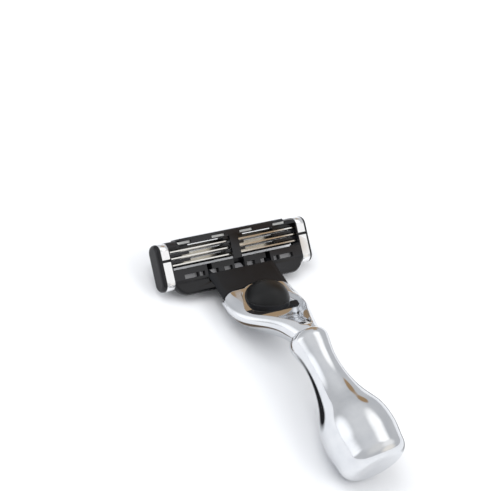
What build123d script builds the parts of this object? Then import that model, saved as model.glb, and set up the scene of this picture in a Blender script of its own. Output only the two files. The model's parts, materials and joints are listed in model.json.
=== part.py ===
"""Travel razor: chrome bulb grip and goose neck, release button, plunger and a three blade pivoting cartridge.

Units are millimetres.  Everything is modelled in the grip frame: X runs along the blades, the grip's turning
axis is Y with the head toward +Y, the back of the razor is +Z and the seam between grip and neck is Y = 0.
At the end every sub-part is turned and lifted so that the razor lies on Z = 0 on its bulb and guard edge.
"""

import os
from math import radians, tan

from build123d import *

os.makedirs("parts", exist_ok=True)

# ---- grip: a turned and polished bulb -------------------------------------------------------------------
COLLAR_RADIUS = 4.45
SEAM_RADIUS = 3.35
WAIST_RADIUS = 3.68
BULB_RADIUS = 8.02
BULB_WIDEST_Y = -26.2
GRIP_END_Y = -33.4
BASE_FLAT_RADIUS = 4.6
BASE_CORNER_RADIUS = 3.0

# ---- stud that joins grip and neck ----------------------------------------------------------------------
STUD_RADIUS = 1.25
STUD_INTO_GRIP = 9.0
STUD_INTO_NECK = 1.8
STUD_CLEARANCE = 0.05

# ---- goose neck: one row per cross section --------------------------------------------------------------
# Y, top Z, (shoulder half width, Z), (widest half width, Z), (belly half width, Z), bottom Z
NECK_SECTIONS = (
    (0.0, 3.35, (2.37, 2.37), (3.35, 0.0), (2.37, -2.37), -3.35),
    (3.0, 2.4, (3.4, 1.2), (4.5, -1.1), (3.4, -3.6), -4.9),
    (6.0, 0.5, (4.9, -0.5), (6.5, -3.1), (5.0, -5.9), -7.8),
    (9.0, -2.0, (6.6, -2.7), (8.6, -5.2), (5.9, -8.7), -10.4),
    (12.5, -4.4, (7.7, -4.9), (9.5, -6.8), (7.1, -9.8), -11.9),
    (17.0, -6.85, (8.4, -7.12), (9.25, -7.9), (6.4, -10.9), -12.2),
    (20.5, -7.1, (8.4, -7.5), (9.2, -8.3), (6.2, -11.3), -12.6),
)
# the scoop's outline seen from above, +X side, from its tip at the seam to the lip in front of the button
SCOOP_OUTLINE = (
    (1.8, 2.5),
    (3.3, 4.75),
    (4.9, 6.9),
    (6.8, 8.9),
    (7.6, 10.6),
    (7.3, 12.0),
    (6.4, 13.3),
    (5.4, 15.0),
    (4.2, 16.7),
    (2.3, 17.95),
)
SCOOP_TIP_Y = 0.4
SCOOP_LIP_Y = 18.4
# the scoop's ramp seen from the side, Y and Z, down to the start of its flat floor
SCOOP_RAMP = ((0.0, 3.9), (2.6, 1.4), (5.0, -1.6), (7.4, -4.7), (9.3, -6.02), (10.6, -6.34))
SCOOP_FLOOR_MEETS_Y = 12.5

# ---- nose frame: where the cartridge docks --------------------------------------------------------------
NOSE_ORIGIN_Y = 17.0
NOSE_ORIGIN_Z = -10.0
NOSE_TILT = -7.0
NOSE_HALF_WIDTH = 4.5
NOSE_LOW = -1.2
NOSE_TOP = 1.9
NOSE_REAR = -4.0
NOSE_FRONT = 2.7
NOSE_CLEARANCE = 0.1

# ---- plunger --------------------------------------------------------------------------------------------
TONGUE_HALF_WIDTH = 1.2
TONGUE_LOW = 1.1
TONGUE_TOP = 1.85
TONGUE_TIP = 8.3
PLUNGER_AXIS_Z = 0.3
SPRING_WIRE_RADIUS = 0.2
SPRING_COIL_RADIUS = 0.75
SPRING_TURNS = 4
SPRING_LENGTH = 3.0

# ---- release button -------------------------------------------------------------------------------------
FLOOR_Z = 2.85
LIP_UNDERSIDE = 2.5
BUTTON_TRAVEL = 3.0
BUTTON_CENTRE_Y = 13.3
BUTTON_CENTRE_Z = -5.5
BUTTON_TILT = -41.0
DOME_RADIUS = 5.0
DOME_HEIGHT = 4.3
PLATE_RADIUS = 4.95
PLATE_THICKNESS = 1.5
TRAY_TOP = 3.4
DECK_RADIUS = 4.7
DECK_REAR = -7.0
EAR_REACH = 7.1
EAR_INNER = 5.2
SLIDER_BOTTOM = 3.48
FOOT_RADIUS = 4.65
FOOT_THICKNESS = 0.25
LUG_INNER_X = 1.8
LUG_OUTER_X = 3.2
LUG_REAR = -4.2
LUG_FRONT = 0.85
RISER_THICKNESS = 0.5
RISER_SLOT_FRONT = LUG_REAR + RISER_THICKNESS + BUTTON_TRAVEL + 0.1

# ---- connector ------------------------------------------------------------------------------------------
CONNECTOR_TOP = 2.8
CONNECTOR_LOW = -2.4
CONNECTOR_REAR = -0.9
CONNECTOR_SECTION = ((7.6, CONNECTOR_TOP), (8.7, 2.62), (9.1, 2.3), (5.35, CONNECTOR_LOW))
DOCK_GAP = 0.13
DOCK_ARC_CENTRE_Y = -3.85
DOCK_ARC_RADIUS = 5.35

# ---- cartridge frame: centre of the cartridge's back face -----------------------------------------------
CARTRIDGE_Y = 26.9
CARTRIDGE_Z = -7.0
CARTRIDGE_TILT = 27.0
CARTRIDGE_WIDTH = 41.3
CARTRIDGE_HEIGHT = 10.6
CARTRIDGE_DEPTH = 4.0
HALF_WIDTH = CARTRIDGE_WIDTH / 2
HALF_HEIGHT = CARTRIDGE_HEIGHT / 2
LONG_EDGE_RADIUS = 1.85
END_EDGE_RADIUS = 0.85
BLADE_WAY_HALF = 17.4
WING_REACH = 7.0
WING_DEPTH = 2.7
WING_CORNER_RADIUS = 3.4
WINDOWS = ((2.0, 4.2), (5.8, 7.4), (9.5, 10.9), (11.2, 14.9))
STRIP_SLOTS = ((1.95, 5.7), (11.25, 14.75))
GUARD_FIN_COUNT = 6
GUARD_FIN_PITCH = 0.55
GUARD_FIN_WIDTH = 0.3

# ---- retaining clips ------------------------------------------------------------------------------------
CLIP_INNER_X = 17.65
CLIP_OUTER_X = 19.75
CLIP_THICKNESS = 0.25
CLIP_SLIT_Y = 1.27
CLIP_SLIT = 0.6
CLIP_GAP = 0.02

# ---- pivot of the cartridge on its connector ------------------------------------------------------------
PIVOT_Y = -2.7
PIVOT_Z = -2.4
PIVOT_PIN_RADIUS = 0.55
PIVOT_BORE_RADIUS = 0.62
ARM_CENTRE_X = 8.05
ARM_WIDTH = 1.0
ARM_SIDE_GAP = 0.15
ARM_LUG_RADIUS = 0.85

# ---- blade units ----------------------------------------------------------------------------------------
BLADE_PITCH = 1.5
FIRST_LEG_Y = 0.03
BLADE_COUNT = 3
BLADE_ANGLE = 21.5
BLADE_LENGTH = 35.2
SUPPORT_LENGTH = 36.8
BLADE_THICKNESS = 0.1
BLADE_WIDTH = 1.55
BLADE_BEVEL = 0.3
EDGE_AHEAD_OF_LEG = 0.55
EDGE_Z = -3.98
SUPPORT_THICKNESS = 0.25
PLATFORM_REACH = 0.95
LEG_HALF_THICKNESS = 0.14
LEG_BACK_Z = -0.9
LEG_BEND_Z = -3.5
FINGER_LOW = 0.42
FINGER_HIGH = 1.05

# ---- lie on the table -----------------------------------------------------------------------------------
LIE_ANGLE = 5.97


def in_nose(shape):
    """Place a shape drawn in the nose frame into the grip frame."""
    return Pos(0, NOSE_ORIGIN_Y, NOSE_ORIGIN_Z) * Rot(NOSE_TILT, 0, 0) * shape


def in_button(shape):
    """Place a shape drawn in the button frame (Z along the dome's own axis) into the grip frame."""
    return Pos(0, BUTTON_CENTRE_Y, BUTTON_CENTRE_Z) * Rot(BUTTON_TILT, 0, 0) * shape


def in_cartridge(shape):
    """Place a shape drawn in the cartridge frame (Y to the cap, Z to the back) into the grip frame."""
    return Pos(0, CARTRIDGE_Y, CARTRIDGE_Z) * Rot(CARTRIDGE_TILT, 0, 0) * shape


def block(x0, x1, y0, y1, z0, z1):
    """Axis parallel block between two corners."""
    size = (x1 - x0, y1 - y0, z1 - z0)
    return Pos((x0 + x1) / 2, (y0 + y1) / 2, (z0 + z1) / 2) * Box(*size)


def both_sides(shape):
    """A shape together with its mirror image across the razor's middle plane."""
    return shape + mirror(shape, about=Plane.YZ)


def mirrored(points):
    """The same points on the -X side, in reverse order."""
    return [(-x, y) for x, y in reversed(points)]


def side_profile(points, x0, x1):
    """Prism with the given Y-Z outline, from x0 to x1."""
    outline = Plane.YZ * Polyline(*points, close=True)
    return Pos(x0, 0, 0) * extrude(make_face(outline), amount=x1 - x0, dir=(1, 0, 0))


def rod_along_x(radius, length):
    """Round rod whose axis is X."""
    return Cylinder(radius, length, rotation=(0, 90, 0))


def rod_along_y(radius, length):
    """Round rod whose axis is Y."""
    return Cylinder(radius, length, rotation=(90, 0, 0))


# ---------------------------------------------------------------------------------------------------------
# Handle
# ---------------------------------------------------------------------------------------------------------
def make_grip():
    """Turned bulb grip with a soft collar, a slim waist, a tulip bulb and a small flat base."""
    corner_start = (BASE_FLAT_RADIUS + BASE_CORNER_RADIUS, GRIP_END_Y + BASE_CORNER_RADIUS)
    flank = Spline(
        (COLLAR_RADIUS, -2.0),
        (WAIST_RADIUS + 0.1, -5.9),
        (WAIST_RADIUS, -8.4),
        (4.25, -13.1),
        (5.7, -17.6),
        (7.12, -20.6),
        (7.75, -22.9),
        (BULB_RADIUS, BULB_WIDEST_Y),
        corner_start,
        tangents=((-0.12, -1.0), (-0.10, -1.0)),
    )
    corner = ThreePointArc(
        corner_start,
        (BASE_FLAT_RADIUS + 2.12, GRIP_END_Y + 0.88),
        (BASE_FLAT_RADIUS, GRIP_END_Y),
    )
    base = Line((BASE_FLAT_RADIUS, GRIP_END_Y), (0, GRIP_END_Y))
    axis = Line((0, GRIP_END_Y), (0, 0))
    top = Line((0, 0), (SEAM_RADIUS, 0))
    shoulder = Spline(
        (SEAM_RADIUS, 0),
        (3.95, -0.45),
        (COLLAR_RADIUS, -2.0),
        tangents=((1.0, -0.2), (0.0, -1.0)),
    )
    grip = revolve(make_face([flank, corner, base, axis, top, shoulder]), Axis.Y)
    bore_depth = STUD_INTO_GRIP + 0.3
    return grip - Pos(0, -bore_depth / 2, 0) * rod_along_y(STUD_RADIUS + STUD_CLEARANCE, bore_depth)


def make_stud():
    """Steel stud, chamfered at both ends, that holds grip and neck together."""
    stud = rod_along_y(STUD_RADIUS, STUD_INTO_GRIP + STUD_INTO_NECK)
    stud = chamfer(stud.edges().filter_by(GeomType.CIRCLE), 0.3)
    return Pos(0, (STUD_INTO_NECK - STUD_INTO_GRIP) / 2, 0) * stud


def symmetric_face(start, right, end):
    """Closed smooth face through points on the +X side and their mirror image."""
    half = Spline(start, *right, end, tangents=((1, 0), (-1, 0)))
    return make_face([half, mirror(half, about=Plane.YZ)])


def neck_section(row):
    """One closed cross section of the neck, facing along Y."""
    y, top, shoulder, widest, belly, bottom = row
    crown = (shoulder[0] / 2, top - (top - shoulder[1]) / 4)
    outline = symmetric_face((0, top), (crown, shoulder, widest, belly), (0, bottom))
    return Plane(origin=(0, y, 0), x_dir=(1, 0, 0), z_dir=(0, -1, 0)) * outline


def make_scoop():
    """The hollow in the neck's back: a rounded outline from above and a ramp with a flat floor from the side."""
    outline = symmetric_face((0, SCOOP_TIP_Y), SCOOP_OUTLINE, (0, SCOOP_LIP_Y))
    plan = Pos(0, 0, -9) * extrude(outline, amount=20)
    floor = in_nose(block(-9, 9, -6.4, 8, FLOOR_Z, 14))
    ramp = Spline(*[(0, y, z) for y, z in SCOOP_RAMP])
    end_y, end_z = SCOOP_RAMP[-1]
    floor_drop = (SCOOP_FLOOR_MEETS_Y - end_y) * tan(radians(NOSE_TILT))
    back = Polyline(
        (0, end_y, end_z),
        (0, SCOOP_FLOOR_MEETS_Y, end_z + floor_drop),
        (0, SCOOP_FLOOR_MEETS_Y, 9),
        (0, SCOOP_RAMP[0][0], 9),
        (0, *SCOOP_RAMP[0]),
    )
    ramp_space = Pos(-9, 0, 0) * extrude(make_face([ramp, *back.edges()]), amount=18, dir=(1, 0, 0))
    return plan & (floor + ramp_space)


def dock_plan(gap):
    """Outline, in the nose frame, of the chrome apron that reaches over the dock; gap grows it."""
    front = Spline((-10.2, -2.2), (-7.4, 0.1), (-4.9, 0.62), (0, 0.75), (4.9, 0.62), (7.4, 0.1), (10.2, -2.2))
    rear = Polyline((10.2, -2.2), (10.2, -9), (-10.2, -9), (-10.2, -2.2))
    apron = Pos(0, gap) * make_face([front, *rear.edges()])
    return apron + Pos(0, DOCK_ARC_CENTRE_Y) * Circle(DOCK_ARC_RADIUS + gap)


def make_neck():
    """Goose neck casting with a scooped back, an apron round the button and a pocket for the nose."""
    neck = loft([neck_section(row) for row in NECK_SECTIONS])
    neck = neck - make_scoop()
    ahead = block(-12, 12, CONNECTOR_REAR - 0.15, 12, -12, 12)
    apron = Pos(0, 0, LIP_UNDERSIDE) * extrude(dock_plan(0), amount=9)
    above_apron = block(-12, 12, 0.7, 12, FLOOR_Z, 12)
    neck = neck - in_nose(ahead - apron + above_apron)
    play = NOSE_CLEARANCE
    pocket = block(-NOSE_HALF_WIDTH - play, NOSE_HALF_WIDTH + play, NOSE_REAR - play, 3.0,
                   NOSE_LOW - play, NOSE_TOP + play)
    lug_way = block(LUG_INNER_X - play, LUG_OUTER_X + play, LUG_REAR - play, 3.0, NOSE_TOP, LIP_UNDERSIDE)
    riser_slot = block(LUG_INNER_X - play, LUG_OUTER_X + play, LUG_REAR - play, RISER_SLOT_FRONT,
                       NOSE_TOP, FLOOR_Z + 1)
    bore_depth = STUD_INTO_NECK + 0.3
    bore = Pos(0, bore_depth / 2, 0) * rod_along_y(STUD_RADIUS + STUD_CLEARANCE, bore_depth)
    return neck - in_nose(pocket + both_sides(lug_way + riser_slot)) - bore


# ---------------------------------------------------------------------------------------------------------
# Docking nose, plunger and release button
# ---------------------------------------------------------------------------------------------------------
def make_nose():
    """Black nose insert: pressed into the neck, guides the plunger and carries the cartridge connector."""
    nose = block(-NOSE_HALF_WIDTH, NOSE_HALF_WIDTH, NOSE_REAR, NOSE_FRONT, NOSE_LOW, NOSE_TOP)
    nose = fillet(nose.edges().filter_by(Axis.Y), 0.4)
    way = TONGUE_HALF_WIDTH + 0.15
    chamber = block(-way, way, NOSE_REAR + 0.8, 2.1, -0.7, 1.25)
    tongue_way = block(-way, way, NOSE_REAR + 0.8, 3.0, TONGUE_LOW - 0.1, 2.3)
    return in_nose(nose - chamber - tongue_way)


def make_plunger():
    """Plunger that turns the cartridge back: a sliding block with a spring spigot and a flat tongue."""
    slide = block(-TONGUE_HALF_WIDTH, TONGUE_HALF_WIDTH, 0.0, 2.0, -0.6, TONGUE_LOW)
    tongue = block(-TONGUE_HALF_WIDTH, TONGUE_HALF_WIDTH, 0.0, TONGUE_TIP, TONGUE_LOW, TONGUE_TOP)
    tongue = fillet(tongue.edges().filter_by(Axis.Z).sort_by(Axis.Y)[-2:], 0.5)
    spigot = Pos(0, -0.5, PLUNGER_AXIS_Z) * rod_along_y(0.5, 1.0)
    return in_nose(slide + tongue + spigot)


def make_plunger_spring():
    """Compression spring behind the plunger."""
    height = SPRING_LENGTH - 2 * SPRING_WIRE_RADIUS
    path = Helix(pitch=height / SPRING_TURNS, height=height, radius=SPRING_COIL_RADIUS)
    start = Plane(origin=path @ 0, z_dir=path % 0)
    coil = sweep(start * Circle(SPRING_WIRE_RADIUS), path=path)
    return in_nose(Pos(0, -0.1 - SPRING_WIRE_RADIUS, PLUNGER_AXIS_Z) * Rot(90, 0, 0) * coil)


def make_button_tray():
    """Black tray on the scoop's floor that guides the release slider, with a raised stop behind it."""
    bottom = FLOOR_Z + 0.02
    deck = Pos(0, DOCK_ARC_CENTRE_Y, bottom) * extrude(Circle(DECK_RADIUS), amount=TRAY_TOP - bottom)
    deck = deck & block(-9, 9, DECK_REAR, 9, 0, 9)
    ears = block(-EAR_REACH, EAR_REACH, DECK_REAR - 0.5, DECK_REAR + 0.9, bottom + 0.3, TRAY_TOP + 0.6)
    ears = fillet(ears.edges().filter_by(Axis.Z), 0.35)
    ears = ears - block(-EAR_INNER, EAR_INNER, -9, 9, TRAY_TOP, 9)
    slot = block(LUG_INNER_X - 0.1, LUG_OUTER_X + 0.1, LUG_REAR - 0.1, RISER_SLOT_FRONT, 2, 4)
    return in_nose(deck + ears - both_sides(slot))


def make_button_cap():
    """Soft rubber dome moulded over the release slider."""
    dome = scale(Sphere(DOME_RADIUS), by=(1, 1, DOME_HEIGHT / DOME_RADIUS))
    dome = dome & block(-6, 6, -6, 6, 0, 6)
    below = in_nose(block(-9, 9, -12, 12, -12, SLIDER_BOTTOM + FOOT_THICKNESS))
    return in_button(dome) - below


def make_button_slider():
    """Release slider: tilted plate under the dome, a foot on the tray and two pusher lugs below the apron."""
    plate = Pos(0, 0, -PLATE_THICKNESS / 2) * Cylinder(PLATE_RADIUS, PLATE_THICKNESS)
    plate = fillet(plate.edges().filter_by(GeomType.CIRCLE), 0.3)
    below = in_nose(block(-9, 9, -12, 12, -12, SLIDER_BOTTOM))
    foot = Pos(0, DOCK_ARC_CENTRE_Y, SLIDER_BOTTOM) * extrude(Circle(FOOT_RADIUS), amount=FOOT_THICKNESS)
    foot = foot & block(-9, 9, DECK_REAR + 0.3, 9, 0, 9)
    lug = block(LUG_INNER_X, LUG_OUTER_X, LUG_REAR, LUG_FRONT, NOSE_TOP + 0.16, LIP_UNDERSIDE - 0.05)
    riser = block(LUG_INNER_X, LUG_OUTER_X, LUG_REAR, LUG_REAR + RISER_THICKNESS, NOSE_TOP + 0.16, SLIDER_BOTTOM + 0.2)
    return in_button(plate) - below + in_nose(foot + both_sides(lug + riser))


# ---------------------------------------------------------------------------------------------------------
# Connector
# ---------------------------------------------------------------------------------------------------------
def make_connector():
    """Yoke that docks on the nose and carries the cartridge on two short arms."""
    outline = (
        (CONNECTOR_REAR, CONNECTOR_TOP),
        (6.40, CONNECTOR_TOP),
        (6.55, 2.58),
        (3.24, 0.35),
        (3.75, -1.0),
        (3.0, CONNECTOR_LOW),
        (CONNECTOR_REAR, CONNECTOR_LOW),
    )
    body = side_profile(outline, -12, 12)
    section = list(CONNECTOR_SECTION)
    flanks = Plane.XZ * make_face(Polyline(*section, *mirrored(section), close=True))
    body = body & (Pos(0, -2, 0) * extrude(flanks, amount=10, dir=(0, 1, 0)))
    play = 2 * NOSE_CLEARANCE
    socket = block(-NOSE_HALF_WIDTH - play, NOSE_HALF_WIDTH + play, -1.0, NOSE_FRONT + play,
                   NOSE_LOW - play, NOSE_TOP + NOSE_CLEARANCE)
    tongue_way = block(-TONGUE_HALF_WIDTH - play, TONGUE_HALF_WIDTH + play, -1.0, 8.0,
                       TONGUE_LOW - play, NOSE_TOP + NOSE_CLEARANCE)
    apron_way = Pos(0, 0, LIP_UNDERSIDE - DOCK_GAP) * extrude(dock_plan(DOCK_GAP), amount=9)
    lug_way = block(LUG_INNER_X - play, LUG_OUTER_X + play, -2, LUG_FRONT + 0.1, NOSE_TOP, 4)
    body = body - socket - tongue_way - apron_way - both_sides(lug_way)

    root = make_face(Polyline((-4.9, 0.62), (-3.5, 0.62), (-3.5, 0.4), (-4.9, 0.4), close=True))
    lug = Pos(PIVOT_Y, PIVOT_Z) * Circle(ARM_LUG_RADIUS)
    arm_face = make_hull(root.edges() + lug.edges())
    arm = extrude(Plane.YZ * arm_face, amount=ARM_WIDTH / 2, both=True)
    pin_length = 0.66
    pin = Pos((ARM_WIDTH + pin_length) / 2, PIVOT_Y, PIVOT_Z) * rod_along_x(PIVOT_PIN_RADIUS, pin_length)
    arm = Pos(ARM_CENTRE_X, 0, 0) * (arm + pin)
    return in_nose(body) + both_sides(in_cartridge(arm))


# ---------------------------------------------------------------------------------------------------------
# Cartridge
# ---------------------------------------------------------------------------------------------------------
def rounded_bar(half_height, half_depth, radius, x0, x1):
    """Bar along X whose Y-Z section is a rounded rectangle centred on the cartridge."""
    section = Plane.YZ * RectangleRounded(2 * half_height, 2 * half_depth, radius)
    return Pos(x0, 0, -CARTRIDGE_DEPTH / 2) * extrude(section, amount=x1 - x0, dir=(1, 0, 0))


def leg_positions():
    """Y of each blade unit's upright leg, guard side first."""
    return [FIRST_LEG_Y + number * BLADE_PITCH for number in range(BLADE_COUNT)]


def make_wing():
    """Guard bar with rounded corners that reaches past the clips."""
    plan = Rectangle(2 * (CLIP_INNER_X - 0.05), WING_REACH - 1.4)
    plan = fillet(plan.vertices().group_by(Axis.Y)[0], WING_CORNER_RADIUS)
    wing = Pos(0, -(WING_REACH + 1.4) / 2, -0.2 - WING_DEPTH) * extrude(plan, amount=WING_DEPTH)
    rim = [edge for edge in wing.edges() if edge.center().Y < -4.4]
    face_rim = [edge for edge in rim if edge.center().Z < -0.1 - WING_DEPTH]
    wing = fillet(face_rim, 1.8)
    rim = [edge for edge in wing.edges() if edge.center().Y < -4.4]
    back_rim = [edge for edge in rim if edge.center().Z > -0.3]
    return fillet(back_rim, 0.7)


def open_blade_ways(body):
    """Cut the through windows and the slots that the blade units drop into."""
    body = body - block(-BLADE_WAY_HALF, BLADE_WAY_HALF, -1.05, 4.05, -4.5, 0.5)
    body = body - block(-18.6, 18.6, -0.75, 4.2, -4.5, -2.6)
    for leg_y in leg_positions():
        body = body - block(-18.6, 18.6, leg_y - 0.28, leg_y + 0.28, -4.5, -0.5)
    return body


def add_bridges(body):
    """Centre bar, spring fingers that hold the blades up, and the rib beside the guard."""
    body = body + block(-1.13, 1.13, -1.5, 4.4, -0.42, 0.0)
    for leg_y in leg_positions():
        low = leg_y + FINGER_LOW
        high = leg_y + FINGER_HIGH
        finger = block(11.7, BLADE_WAY_HALF + 0.1, low, high, -2.45, -1.2)
        centre_finger = block(1.0, 2.7, low, high, -2.45, -0.4)
        body = body + both_sides(finger + centre_finger)
        body = body + block(-1.1, 1.1, low, high, -1.6, -0.3)
    return body + block(-BLADE_WAY_HALF, BLADE_WAY_HALF, -1.45, -1.05, -2.2, -0.85)


def open_strip_seats(body):
    """Seats for the guard and lubricating strips with the openings that show them at the back."""
    body = body - block(-15.3, 15.3, -5.6, -1.7, -4.5, -3.55)
    for x0, x1 in WINDOWS:
        body = body - both_sides(block(x0, x1, -3.4, -2.4, -4.0, 0.5))
    body = body - block(-15.3, 15.3, 4.3, 5.25, -4.5, -3.2)
    for x0, x1 in STRIP_SLOTS:
        body = body - both_sides(block(x0, x1, 4.3, 4.85, -3.5, 0.5))
    return body


def open_pivot(body):
    """Ways for the connector's arms and bores for its pivot pins."""
    x0 = ARM_CENTRE_X - ARM_WIDTH / 2 - ARM_SIDE_GAP
    x1 = ARM_CENTRE_X + ARM_WIDTH / 2 + ARM_SIDE_GAP
    body = body - both_sides(block(x0, x1, -5.0, -1.1, -3.4, 0.5))
    bore = Pos(x1 + 0.2, PIVOT_Y, PIVOT_Z) * rod_along_x(PIVOT_BORE_RADIUS, 0.9)
    return body - both_sides(bore)


def open_clip_grooves(body):
    """Shallow grooves round both ends that the clips sit in."""
    rim = 0.6
    outer = rounded_bar(HALF_HEIGHT + rim, CARTRIDGE_DEPTH / 2 + rim, LONG_EDGE_RADIUS + rim,
                        CLIP_INNER_X, CLIP_OUTER_X)
    inner = rounded_bar(HALF_HEIGHT - CLIP_THICKNESS, CARTRIDGE_DEPTH / 2 - CLIP_THICKNESS,
                        LONG_EDGE_RADIUS - CLIP_THICKNESS, CLIP_INNER_X, CLIP_OUTER_X)
    return body - both_sides(outer - inner)


def make_housing():
    """Black cartridge frame with blade ways, spring fingers, guard bar, cap bar and centre bar."""
    body = rounded_bar(HALF_HEIGHT, CARTRIDGE_DEPTH / 2, LONG_EDGE_RADIUS, -HALF_WIDTH, HALF_WIDTH)
    ends = body.faces().sort_by(Axis.X)
    body = fillet(ends[0].edges() + ends[-1].edges(), END_EDGE_RADIUS)
    cap_bar = block(-14.3, 14.3, 4.2, 5.55, -3.7, -0.15)
    cap_bar = fillet(cap_bar.edges().filter_by(Axis.X).sort_by(Axis.Y)[-2:], 0.5)
    body = body + cap_bar + make_wing()
    body = open_blade_ways(body)
    body = add_bridges(body)
    body = open_strip_seats(body)
    body = open_pivot(body)
    body = open_clip_grooves(body)
    way = TONGUE_HALF_WIDTH + 0.2
    tongue_way = in_nose(block(-way, way, 2.0, TONGUE_TIP + 0.2, TONGUE_LOW - 0.15, 4.2))
    return in_cartridge(body) - tongue_way


def make_clip():
    """Aluminium retaining clip of the +X end, wrapped round the frame with a slit at the back."""
    x0 = CLIP_INNER_X + CLIP_GAP
    x1 = CLIP_OUTER_X - CLIP_GAP
    wall = CLIP_THICKNESS - CLIP_GAP / 2
    outer = rounded_bar(HALF_HEIGHT, CARTRIDGE_DEPTH / 2, LONG_EDGE_RADIUS, x0, x1)
    inner = rounded_bar(HALF_HEIGHT - wall, CARTRIDGE_DEPTH / 2 - wall, LONG_EDGE_RADIUS - wall,
                        x0 - 1, x1 + 1)
    slit = block(x0 - 1, x1 + 1, CLIP_SLIT_Y - CLIP_SLIT / 2, CLIP_SLIT_Y + CLIP_SLIT / 2, -1, 1)
    return outer - inner - slit


def make_guard_strip():
    """Grey elastomer guard: fins on the face side, rivets that show through the windows at the back."""
    strip = block(-15.2, 15.2, -5.5, -1.8, -4.0, -3.6)
    for number in range(GUARD_FIN_COUNT):
        fin_y = -5.3 + number * GUARD_FIN_PITCH
        strip = strip + block(-14.8, 14.8, fin_y, fin_y + GUARD_FIN_WIDTH, -4.4, -3.9)
    for x0, x1 in WINDOWS:
        strip = strip + both_sides(block(x0 + 0.02, x1 - 0.02, -3.38, -2.42, -3.8, -0.9))
    return strip


def make_lube_strip():
    """Pale lubricating strip on the cap with four tabs that show through slots at the back."""
    strip = block(-15.2, 15.2, 4.32, 5.23, -4.35, -3.25)
    strip = fillet(strip.edges().filter_by(Axis.X).sort_by(Axis.Z)[:2], 0.2)
    for x0, x1 in STRIP_SLOTS:
        strip = strip + both_sides(block(x0 + 0.02, x1 - 0.02, 4.32, 4.83, -3.5, -0.7))
    return strip


def make_blade_support(leg_y):
    """Bent steel carrier: an upright leg and a sloping platform that the blade is welded to."""
    half = SUPPORT_LENGTH / 2
    leg = block(-half, half, -LEG_HALF_THICKNESS, LEG_HALF_THICKNESS, LEG_BEND_Z, LEG_BACK_Z)
    platform = block(-half, half, -LEG_HALF_THICKNESS, PLATFORM_REACH, 0, SUPPORT_THICKNESS)
    blade_top = EDGE_Z + BLADE_THICKNESS + EDGE_AHEAD_OF_LEG * tan(radians(BLADE_ANGLE))
    platform = Pos(0, 0, blade_top + 0.02) * Rot(BLADE_ANGLE, 0, 0) * platform
    return Pos(0, leg_y, 0) * (leg + platform)


def make_blade(leg_y):
    """Thin steel blade with a bevelled front edge."""
    outline = (
        (0.0, 0.0),
        (BLADE_WIDTH, 0.0),
        (BLADE_WIDTH, BLADE_THICKNESS),
        (BLADE_BEVEL, BLADE_THICKNESS),
    )
    blade = side_profile(outline, -BLADE_LENGTH / 2, BLADE_LENGTH / 2)
    return Pos(0, leg_y - EDGE_AHEAD_OF_LEG, EDGE_Z) * Rot(BLADE_ANGLE, 0, 0) * blade


def make_parts():
    """Every sub-part in the grip frame, by node name."""
    parts = {
        "grip": make_grip(),
        "stud": make_stud(),
        "neck": make_neck(),
        "nose_insert": make_nose(),
        "plunger": make_plunger(),
        "plunger_spring": make_plunger_spring(),
        "button_tray": make_button_tray(),
        "button_slider": make_button_slider(),
        "button_cap": make_button_cap(),
        "connector": make_connector(),
        "housing": make_housing(),
        "guard_strip": in_cartridge(make_guard_strip()),
        "lube_strip": in_cartridge(make_lube_strip()),
        "clip_right": in_cartridge(make_clip()),
        "clip_left": in_cartridge(mirror(make_clip(), about=Plane.YZ)),
    }
    for number, leg_y in enumerate(leg_positions(), start=1):
        parts[f"blade_support_{number}"] = in_cartridge(make_blade_support(leg_y))
        parts[f"blade_{number}"] = in_cartridge(make_blade(leg_y))
    return parts


def lay_on_table(parts):
    """Turn every part to the resting pose and centre the whole razor over the origin."""
    turned = {node: Rot(LIE_ANGLE, 0, 0) * shape for node, shape in parts.items()}
    boxes = [shape.bounding_box() for shape in turned.values()]
    rear = min(box.min.Y for box in boxes)
    front = max(box.max.Y for box in boxes)
    lowest = min(box.min.Z for box in boxes)
    move = Pos(0, -(rear + front) / 2, -lowest)
    return {node: move * shape for node, shape in turned.items()}


for node_name, node_shape in lay_on_table(make_parts()).items():
    export_step(node_shape, f"parts/{node_name}.step")
    print(node_name, node_shape.is_valid, len(node_shape.solids()), round(node_shape.volume, 2))
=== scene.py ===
"""Looks of a chrome bulb handle razor with a pivoting three blade cartridge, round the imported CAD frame.

Values named _MM or _mm are in millimetres, and MM turns them into metres.  Angles are in degrees.  The razor
lies along +Y with its cartridge at the +Y end and its back up.
"""

import json
from math import cos, radians, sin

import bpy
from mathutils import Matrix, Vector


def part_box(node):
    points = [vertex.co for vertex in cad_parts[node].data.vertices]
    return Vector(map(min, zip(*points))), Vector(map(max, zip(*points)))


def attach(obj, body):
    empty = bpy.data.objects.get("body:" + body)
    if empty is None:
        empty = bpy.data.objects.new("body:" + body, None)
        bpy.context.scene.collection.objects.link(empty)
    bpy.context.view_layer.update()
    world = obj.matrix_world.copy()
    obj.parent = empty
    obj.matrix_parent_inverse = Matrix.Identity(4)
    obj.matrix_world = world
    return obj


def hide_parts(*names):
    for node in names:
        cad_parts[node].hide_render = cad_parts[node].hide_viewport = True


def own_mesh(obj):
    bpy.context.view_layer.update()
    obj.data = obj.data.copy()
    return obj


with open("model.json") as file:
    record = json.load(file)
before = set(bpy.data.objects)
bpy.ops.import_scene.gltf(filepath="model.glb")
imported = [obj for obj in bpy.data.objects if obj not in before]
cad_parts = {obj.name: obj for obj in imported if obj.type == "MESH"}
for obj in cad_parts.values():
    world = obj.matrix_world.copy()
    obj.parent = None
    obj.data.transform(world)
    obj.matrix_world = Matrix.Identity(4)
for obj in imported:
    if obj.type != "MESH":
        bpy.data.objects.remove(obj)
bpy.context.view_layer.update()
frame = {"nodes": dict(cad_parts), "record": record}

MM = 0.001
WELD_MM = 0.002

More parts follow.
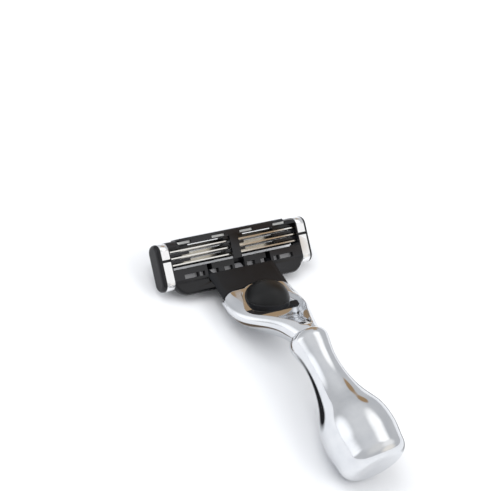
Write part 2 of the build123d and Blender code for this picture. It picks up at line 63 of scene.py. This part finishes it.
# ---- camera: the view of the picture; azimuth 0 is from the bulb's end, and 90 from the +X side ------------
VIEW_AZIMUTH = -50.97
VIEW_ELEVATION = 42.80
VIEW_ROLL = 28.25
VIEW_DISTANCE_MM = 450.0
AIM_FROM_HOUSING_MM = (1.9, -0.1, 2.9)
LENS_MM = 147.8
SENSOR_MM = 36.0
CLIP_START_MM = 10.0
CLIP_END_MM = 20000.0

# ---- studio ------------------------------------------------------------------------------------------------
FLOOR_SIZE_MM = 4000.0
FLOOR_COLOUR = (0.83, 0.84, 0.86, 1.0)
ROOM_COLOUR = (0.62, 0.63, 0.65)
BACKDROP_COLOUR = (0.90, 0.91, 0.92)
DARK_FLAG = (0.02, 0.02, 0.022)
# colour of the painted shade on the floor under the neck, seen only in reflections
BROWN_SHADE_FLAG = (0.16, 0.12, 0.09)
TAN_CARD = (0.44, 0.31, 0.19)
FLAG_HEIGHT_MM = 0.4
LIGHT_DISTANCE_MM = 600.0

# soft patches of light round the razor, mostly for the chrome to mirror: azimuth (0 is +Y, 90 is +X),
# elevation, the angle inside which the patch is full, the angle at which it is gone, colour
SKY_PATCHES = (
    (-50, 75, 10, 60, (0.80, 0.81, 0.83)),  # wide, overhead
    (-168, 50, 5, 40, (0.80, 0.80, 0.80)),  # behind the bulb
    (127, 44, 2, 30, (1.05, 1.05, 1.05)),  # behind, on the +X side
    (144, 14, 4, 26, (1.00, 0.96, 0.90)),  # on the same side, low and warm
    (38, 29, 7, 11, (0.41, 0.28, 0.16)),  # small and tan, in front on the +X side
    (77, 66, 2, 26, (1.45, 1.45, 1.44)),  # bright, high on the +X side
    (-72, 12, 2, 32, (1.40, 1.42, 1.45)),  # bright, low on the -X side
)

# ---- pieces ------------------------------------------------------------------------------------------------
EDGE_WIDTH_MM = {
    "housing": 0.07,
    "clip_left": 0.03,
    "clip_right": 0.03,
    "guard_strip": 0.05,
    "lube_strip": 0.05,
}
EDGE_ANGLE = 32.0

# piece, the node it stands for, voxel size in mm, rounds of smoothing, whether the chrome mirrors it
CAST_PIECES = (
    ("neck_casting", "neck", 0.09, 24, True),
    ("connector_moulding", "connector", 0.09, 6, False),
    ("button_dome", "button_cap", 0.08, 12, False),
    ("tray_moulding", "button_tray", 0.07, 4, False),
    ("slider_moulding", "button_slider", 0.07, 4, False),
)

# ---- grain: how the noise is stretched along X, Y and Z, and its scale -------------------------------------
ALONG_BLADES = (0.06, 1.0, 1.0)
ACROSS_GRIP = (1.0, 9.0, 1.0)
BLADE_GRAIN = 16000.0

# sockets of a colour Mix node by number, because their names repeat
MIX_FACTOR = 0
MIX_A = 6
MIX_B = 7
MIX_RESULT = 2


def new_object(name, data):
    """An object made of a mesh, a lamp or a camera, and put in the scene."""
    made = bpy.data.objects.new(name, data)
    bpy.context.scene.collection.objects.link(made)
    return made


def mixed(tree, factor, source, colour):
    """The source colour, turned into the given colour as far as the factor says."""
    made = tree.nodes.new("ShaderNodeMix")
    made.data_type = "RGBA"
    tree.links.new(factor, made.inputs[MIX_FACTOR])
    tree.links.new(source, made.inputs[MIX_A])
    made.inputs[MIX_B].default_value = (*colour, 1.0)
    return made.outputs[MIX_RESULT]


# ============================================================================================================
# Materials
# ============================================================================================================
class Shader:
    """A node material on one Principled shader, with short helpers for procedural detail."""

    def __init__(self, name):
        self.material = bpy.data.materials.new(name)
        self.material.use_nodes = True
        self.tree = self.material.node_tree
        self.surface = self.tree.nodes["Principled BSDF"]
        self.place = self.node("ShaderNodeTexCoord").outputs["Object"]

    def node(self, kind, **inputs):
        made = self.tree.nodes.new(kind)
        for name, value in inputs.items():
            made.inputs[name.replace("_", " ")].default_value = value
        return made

    def link(self, source, target):
        self.tree.links.new(source, target)

    def set(self, **values):
        for name, value in values.items():
            self.surface.inputs[name.replace("_", " ")].default_value = value

    def stretched(self, scale):
        """The object's coordinates, scaled by axis, for grain that runs one way."""
        mapping = self.node("ShaderNodeMapping")
        mapping.inputs["Scale"].default_value = scale
        self.link(self.place, mapping.inputs["Vector"])
        return mapping.outputs["Vector"]

    def noise(self, scale, detail=4.0, roughness=0.55, place=None):
        made = self.node("ShaderNodeTexNoise", Scale=scale, Detail=detail, Roughness=roughness)
        self.link(place or self.place, made.inputs["Vector"])
        return made.outputs["Fac"]

    def ramp(self, source, *stops):
        made = self.node("ShaderNodeValToRGB")
        elements = made.color_ramp.elements
        while len(elements) < len(stops):
            elements.new(0.5)
        for element, (position, colour) in zip(elements, stops):
            element.position = position
            element.color = (*colour, 1.0)
        self.link(source, made.inputs["Fac"])
        return made.outputs["Color"]

    def remap(self, source, span, result=(0.0, 1.0)):
        """Stretch the span of the source onto the result's range."""
        low, high = span
        out_low, out_high = result
        made = self.node("ShaderNodeMapRange", From_Min=low, From_Max=high, To_Min=out_low, To_Max=out_high)
        self.link(source, made.inputs["Value"])
        return made.outputs["Result"]

    def add(self, a, b):
        made = self.node("ShaderNodeMath")
        made.operation = "ADD"
        self.link(a, made.inputs[0])
        self.link(b, made.inputs[1])
        return made.outputs[0]

    def convex_edges(self):
        """1 on the convex edges, 0 elsewhere."""
        geometry = self.node("ShaderNodeNewGeometry")
        return self.remap(geometry.outputs["Pointiness"], (0.52, 0.60))

    def colour(self, source):
        self.link(source, self.surface.inputs["Base Color"])

    def roughness(self, source):
        self.link(source, self.surface.inputs["Roughness"])

    def bump(self, height, strength, distance_mm):
        made = self.node("ShaderNodeBump", Strength=strength, Distance=distance_mm * MM)
        self.link(height, made.inputs["Height"])
        self.link(made.outputs["Normal"], self.surface.inputs["Normal"])


def chrome():
    """Polished chrome plate: faint smudges, hairline wiping marks and a hint of orange peel."""
    look = Shader("polished_chrome")
    look.set(Metallic=1.0)
    smudge = look.noise(scale=260.0, detail=5.0)
    hairline = look.noise(scale=900.0, detail=6.0, roughness=0.7, place=look.stretched(ACROSS_GRIP))
    orange_peel = look.noise(scale=700.0, detail=2.0)
    look.colour(look.ramp(smudge, (0.30, (0.68, 0.695, 0.72)), (0.70, (0.76, 0.77, 0.785))))
    look.roughness(look.remap(look.add(smudge, hairline), (0.7, 1.3), (0.045, 0.11)))
    look.bump(orange_peel, strength=0.05, distance_mm=0.01)
    return look.material


def steel(name, dark, bright, rough, grain):
    """Bare steel or aluminium, brushed the way that the blades run."""
    look = Shader(name)
    look.set(Metallic=1.0)
    brushed = look.noise(scale=grain, detail=6.0, roughness=0.7, place=look.stretched(ALONG_BLADES))
    patches = look.noise(scale=400.0)
    look.colour(look.ramp(brushed, (0.3, dark), (0.7, bright)))
    look.roughness(look.remap(look.add(brushed, patches), (0.6, 1.4), (rough * 0.7, rough * 1.3)))
    look.bump(brushed, strength=0.25, distance_mm=0.01)
    return look.material


def blade_steel():
    """Honed blade: a painted highlight on its bevel, a dark line behind it, satin steel darker towards the
    back, and painted shade at the back, under the next blade.

    The Z of the generated coordinates runs from 0 at the edge to 1 at the back.
    """
    look = Shader("blade_steel")
    look.set(Metallic=1.0)
    brushed = look.noise(scale=BLADE_GRAIN, detail=6.0, roughness=0.7, place=look.stretched(ALONG_BLADES))
    split = look.node("ShaderNodeSeparateXYZ")
    look.link(look.node("ShaderNodeTexCoord").outputs["Generated"], split.inputs[0])
    across = look.add(split.outputs["Z"], look.remap(brushed, (0.3, 0.7), (-0.03, 0.03)))
    # painted highlight: the bevel is coloured brighter than the flat steel, as if it caught the light
    bevel = (0.20, (0.80, 0.80, 0.79))
    bevel_line = (0.26, (0.36, 0.36, 0.37))
    flat_front = (0.34, (0.62, 0.62, 0.62))
    flat_rear = (0.74, (0.50, 0.50, 0.50))
    # painted shade: the back of the blade is coloured near black for the shadow of the next blade over it
    shade_under_next_blade = (0.88, (0.06, 0.06, 0.06))
    look.colour(look.ramp(across, bevel, bevel_line, flat_front, flat_rear, shade_under_next_blade))
    look.roughness(look.remap(brushed, (0.3, 0.7), (0.17, 0.30)))
    look.bump(brushed, strength=0.25, distance_mm=0.01)
    return look.material


def moulded(name, dark, pale, rough, grain, depth_mm, edge_colour=None, specular=0.28):
    """Moulded plastic or rubber with a fine skin and cloudy colour, and, if an edge colour is given, paler on
    its convex edges.
    """
    look = Shader(name)
    look.set(Specular_IOR_Level=specular)
    skin = look.noise(scale=grain, detail=5.0, roughness=0.6)
    cloud = look.noise(scale=220.0, detail=4.0)
    body = look.ramp(cloud, (0.3, dark), (0.7, pale))
    if edge_colour:
        body = mixed(look.tree, look.convex_edges(), body, edge_colour)
    look.colour(body)
    look.roughness(look.remap(look.add(skin, cloud), (0.7, 1.3), (rough * 0.82, rough * 1.18)))
    look.bump(skin, strength=0.35, distance_mm=depth_mm)
    return look.material


def make_materials():
    """One material for each finish, by the record's slot name."""
    return {
        "chrome": chrome(),
        "blade_steel": blade_steel(),
        "stud_steel": steel("stud_steel", rough=0.35, grain=6000.0,
                            dark=(0.42, 0.42, 0.43), bright=(0.60, 0.60, 0.60)),
        "spring_steel": steel("spring_steel", rough=0.30, grain=6000.0,
                              dark=(0.45, 0.45, 0.46), bright=(0.62, 0.62, 0.62)),
        "support_steel": steel("support_steel", rough=0.22, grain=14000.0,
                               dark=(0.76, 0.75, 0.72), bright=(0.84, 0.83, 0.80)),
        "clip_aluminium": steel("clip_aluminium", rough=0.16, grain=9000.0,
                                dark=(0.84, 0.84, 0.85), bright=(0.90, 0.90, 0.90)),
        "matte_black": moulded("matte_black_plastic", rough=0.44, grain=5200.0, depth_mm=0.012,
                               dark=(0.0045, 0.005, 0.0065), pale=(0.008, 0.0085, 0.0105),
                               edge_colour=(0.014, 0.0145, 0.017)),
        "gloss_black": moulded("gloss_black_plastic", rough=0.15, grain=2600.0, depth_mm=0.003,
                               dark=(0.0030, 0.0030, 0.0040), pale=(0.0055, 0.0055, 0.0070),
                               edge_colour=(0.010, 0.010, 0.012), specular=0.36),
        "button_rubber": moulded("black_rubber", rough=0.42, grain=6500.0, depth_mm=0.012,
                                 dark=(0.0050, 0.0052, 0.0055), pale=(0.0085, 0.0088, 0.0092),
                                 edge_colour=(0.012, 0.012, 0.013)),
        "plunger_grey": moulded("plunger_acetal", rough=0.40, grain=4000.0, depth_mm=0.01,
                                dark=(0.16, 0.16, 0.17), pale=(0.22, 0.22, 0.23)),
        "guard_grey": moulded("guard_elastomer", rough=0.52, grain=5000.0, depth_mm=0.02,
                              dark=(0.26, 0.26, 0.27), pale=(0.36, 0.36, 0.37)),
        "strip_white": moulded("lubricating_strip", rough=0.42, grain=3200.0, depth_mm=0.02,
                               dark=(0.60, 0.61, 0.60), pale=(0.78, 0.78, 0.76)),
    }


NODE_FINISH = {
    "grip": "chrome",
    "neck": "chrome",
    "stud": "stud_steel",
    "nose_insert": "matte_black",
    "plunger": "plunger_grey",
    "plunger_spring": "spring_steel",
    "button_tray": "matte_black",
    "button_slider": "matte_black",
    "button_cap": "button_rubber",
    "connector": "matte_black",
    "housing": "gloss_black",
    "guard_strip": "guard_grey",
    "lube_strip": "strip_white",
    "clip_left": "clip_aluminium",
    "clip_right": "clip_aluminium",
    "blade_support_1": "support_steel",
    "blade_support_2": "support_steel",
    "blade_support_3": "support_steel",
    "blade_1": "blade_steel",
    "blade_2": "blade_steel",
    "blade_3": "blade_steel",
}


def weld_facets(obj):
    """Join the points that the CAD's separate facets share."""
    weld = obj.modifiers.new("weld", "WELD")
    weld.merge_threshold = WELD_MM * MM


def soften(obj, width_mm):
    """Weld the CAD facets and round every sharp edge a little."""
    weld_facets(obj)
    bevel = obj.modifiers.new("edges", "BEVEL")
    bevel.width = width_mm * MM
    bevel.segments = 2
    bevel.limit_method = "ANGLE"
    bevel.angle_limit = radians(EDGE_ANGLE)
    bevel.harden_normals = True


def dress_cad_nodes(materials):
    """Give every CAD node its material, and rounded edges where the table asks for them."""
    for name, obj in frame["nodes"].items():
        obj.data.materials.clear()
        obj.data.materials.append(materials[NODE_FINISH[name]])
        if name in EDGE_WIDTH_MM:
            soften(obj, EDGE_WIDTH_MM[name])


# ============================================================================================================
# Pieces that stand for CAD nodes
# ============================================================================================================
BODIES = frame["record"]["behaviour"]["bodies"]
BODY_OF_NODE = {node: body for body, nodes in BODIES.items() for node in nodes}


def finish_piece(piece, node, materials):
    """Give a new piece its node's body and material, and hide the node."""
    piece.data.materials.clear()
    piece.data.materials.append(materials[NODE_FINISH[node]])
    for face in piece.data.polygons:
        face.use_smooth = True
    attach(piece, BODY_OF_NODE[node])
    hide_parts(node)


def bake_modifiers(piece):
    """Replace the piece's mesh by what its modifiers make of it."""
    bpy.context.view_layer.update()
    graph = bpy.context.evaluated_depsgraph_get()
    made = bpy.data.meshes.new_from_object(piece.evaluated_get(graph))
    piece.modifiers.clear()
    piece.data = made


def cast_piece(name, node, voxel_mm, rounds, materials):
    """A node's shape as one smooth skin with rounded edges, as a casting or a moulding has."""
    piece = new_object(name, frame["nodes"][node].data.copy())
    weld_facets(piece)
    skin = piece.modifiers.new("skin", "REMESH")
    skin.mode = "VOXEL"
    skin.voxel_size = voxel_mm * MM
    skin.use_smooth_shade = True
    relax = piece.modifiers.new("relax", "SMOOTH")
    relax.factor = 0.5
    relax.iterations = rounds
    bake_modifiers(piece)
    finish_piece(piece, node, materials)
    return piece


def spring_piece(materials):
    """The plunger's coil spring, welded into one piece with a mesh of its own. The real spring shortens
    towards its rear end as the plunger is pushed in; nothing here makes it do so.
    """
    node = "plunger_spring"
    spring = new_object("spring_coil", frame["nodes"][node].data.copy())
    weld_facets(spring)
    bake_modifiers(spring)
    finish_piece(spring, node, materials)
    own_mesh(spring)


# ============================================================================================================
# Studio
# ============================================================================================================
def toward(azimuth, elevation):
    """Unit vector; azimuth 0 is +Y, 90 is +X."""
    a = radians(azimuth)
    e = radians(elevation)
    return Vector((sin(a) * cos(e), cos(a) * cos(e), sin(e)))


def card(name, width, height):
    """A level rectangle round its own origin."""
    w = width / 2
    h = height / 2
    mesh = bpy.data.meshes.new(name)
    mesh.from_pydata([(-w, -h, 0), (w, -h, 0), (w, h, 0), (-w, h, 0)], [], [(0, 1, 2, 3)])
    return new_object(name, mesh)


def make_camera():
    """Camera at the picture's angle, aimed just beside the middle of the cartridge; returns that point."""
    back = toward(180 - VIEW_AZIMUTH, VIEW_ELEVATION)
    level = Vector((cos(radians(VIEW_AZIMUTH)), sin(radians(VIEW_AZIMUTH)), 0.0))
    right = Matrix.Rotation(radians(VIEW_ROLL), 3, back) @ level
    up = back.cross(right)
    low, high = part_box("housing")
    aim = (low + high) / 2 + Vector(AIM_FROM_HOUSING_MM) * MM
    data = bpy.data.cameras.new("camera")
    data.lens = LENS_MM
    data.sensor_width = SENSOR_MM
    data.clip_start = CLIP_START_MM * MM
    data.clip_end = CLIP_END_MM * MM
    camera = new_object("camera", data)
    turn = Matrix((right, up, back)).transposed()
    camera.matrix_world = Matrix.Translation(aim + back * VIEW_DISTANCE_MM * MM) @ turn.to_4x4()
    bpy.context.scene.camera = camera
    return aim


def make_floor():
    floor = card("floor", FLOOR_SIZE_MM * MM, FLOOR_SIZE_MM * MM)
    look = Shader("floor_card")
    look.set(Base_Color=FLOOR_COLOUR, Roughness=0.6)
    floor.data.materials.append(look.material)


def square_light(name, aim, azimuth, elevation, size_mm, power):
    """A square lamp that shines on the aim from a direction, and that no reflection shows."""
    data = bpy.data.lights.new(name, "AREA")
    data.shape = "SQUARE"
    data.size = size_mm * MM
    data.energy = power
    light = new_object(name, data)
    direction = toward(azimuth, elevation)
    light.location = aim + direction * LIGHT_DISTANCE_MM * MM
    light.rotation_mode = "QUATERNION"
    light.rotation_quaternion = direction.to_track_quat("Z", "Y")
    light.visible_camera = False
    light.visible_glossy = False


def fading_glow(name, colour, width, height):
    """A card's glow, light or dark, that fades to nothing at the card's rim."""
    look = Shader(name)
    tree = look.tree
    tree.nodes.remove(look.surface)
    spread = look.node("ShaderNodeMapping")
    spread.inputs["Scale"].default_value = (2 / width, 2 / height, 1.0)
    look.link(look.place, spread.inputs["Vector"])
    fall = look.node("ShaderNodeTexGradient")
    fall.gradient_type = "SPHERICAL"
    look.link(spread.outputs["Vector"], fall.inputs["Vector"])
    shine = look.node("ShaderNodeEmission", Color=(*colour, 1.0), Strength=1.0)
    clear = look.node("ShaderNodeBsdfTransparent")
    blend = look.node("ShaderNodeMixShader")
    look.link(look.remap(fall.outputs["Fac"], (0.0, 0.45)), blend.inputs[0])
    look.link(clear.outputs[0], blend.inputs[1])
    look.link(shine.outputs[0], blend.inputs[2])
    look.link(blend.outputs[0], tree.nodes["Material Output"].inputs["Surface"])
    return look.material


def flag(name, centre, size_mm, colour, facing=None):
    """A card with a soft rim that only reflections show; level unless it faces a point."""
    width, height = Vector(size_mm) * MM
    patch = card(name, width, height)
    patch.location = centre
    if facing:
        patch.rotation_mode = "QUATERNION"
        patch.rotation_quaternion = (facing - centre).to_track_quat("Z", "Y")
    patch.data.materials.append(fading_glow(name, colour, width, height))
    patch.visible_camera = False
    patch.visible_shadow = False
    patch.visible_diffuse = False


class Sky:
    """World light: a plain grey room with soft round patches, each given by its direction."""

    def __init__(self, colour):
        world = bpy.data.worlds.new("studio")
        bpy.context.scene.world = world
        world.use_nodes = True
        self.tree = world.node_tree
        self.direction = self.tree.nodes.new("ShaderNodeTexCoord").outputs["Generated"]
        plain = self.tree.nodes.new("ShaderNodeRGB")
        plain.outputs[0].default_value = (*colour, 1.0)
        self.light = plain.outputs[0]

    def patch(self, azimuth, elevation, inner, outer, colour):
        """Blend in a round patch: full inside the inner angle and gone at the outer one."""
        dot = self.tree.nodes.new("ShaderNodeVectorMath")
        dot.operation = "DOT_PRODUCT"
        dot.inputs[1].default_value = toward(azimuth, elevation)
        self.tree.links.new(self.direction, dot.inputs[0])
        share = self.tree.nodes.new("ShaderNodeMapRange")
        share.interpolation_type = "SMOOTHSTEP"
        share.inputs["From Min"].default_value = cos(radians(outer))
        share.inputs["From Max"].default_value = cos(radians(inner))
        self.tree.links.new(dot.outputs["Value"], share.inputs["Value"])
        self.light = mixed(self.tree, share.outputs["Result"], self.light, colour)

    def connect(self, backdrop):
        """The patches are for reflections and light; the camera itself sees the plain backdrop."""
        sight = self.tree.nodes.new("ShaderNodeLightPath")
        seen = mixed(self.tree, sight.outputs["Is Camera Ray"], self.light, backdrop)
        self.tree.links.new(seen, self.tree.nodes["Background"].inputs["Color"])


def make_sky():
    sky = Sky(ROOM_COLOUR)
    for patch in SKY_PATCHES:
        sky.patch(*patch)
    sky.connect(BACKDROP_COLOUR)


def make_lights(aim):
    """Soft light from above for the floor and the shadows."""
    square_light("key_light", aim, azimuth=-60, elevation=62, size_mm=450, power=1.9)
    square_light("rear_light", aim, azimuth=150, elevation=50, size_mm=400, power=0.8)


def make_flags():
    """Dark flags just above the floor beside the grip and the neck, and a tan card that faces the scoop. The
    flag at the waist and the brown one under the neck are painted shade: they stand for the floor's shade
    there, and only reflections show them.

    Their places are measured from the front end of the grip, on the razor's middle plane.
    """
    grip_front = Vector((0.0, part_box("grip")[1].y, 0.0))

    def place(x_mm, y_mm, z_mm=FLAG_HEIGHT_MM):
        return grip_front + Vector((x_mm, y_mm, z_mm)) * MM

    # painted shade: a dark sheet standing for the floor's shade beside the waist, shown only in reflections
    flag("waist_shade_flag", place(-7.5, -9.0), (13, 18), DARK_FLAG)
    flag("far_flag", place(22.0, -13.0), (16, 56), DARK_FLAG)
    flag("scoop_card", place(13.0, 25.0, 17.0), (30, 26), TAN_CARD, facing=place(0.0, 9.0, 6.0))
    # painted shade: a brown sheet standing for the shaded floor under the neck, shown only in reflections
    flag("neck_shade_flag", place(-8.5, 6.0), (6, 18), BROWN_SHADE_FLAG)


# ============================================================================================================
# The scene
# ============================================================================================================
materials = make_materials()
dress_cad_nodes(materials)
spring_piece(materials)
for name, node, voxel_mm, rounds, mirrored in CAST_PIECES:
    piece = cast_piece(name, node, voxel_mm, rounds, materials)
    piece.visible_glossy = mirrored

aim = make_camera()
make_floor()
make_sky()
make_lights(aim)
make_flags()
bpy.context.scene.view_settings.view_transform = "Standard"
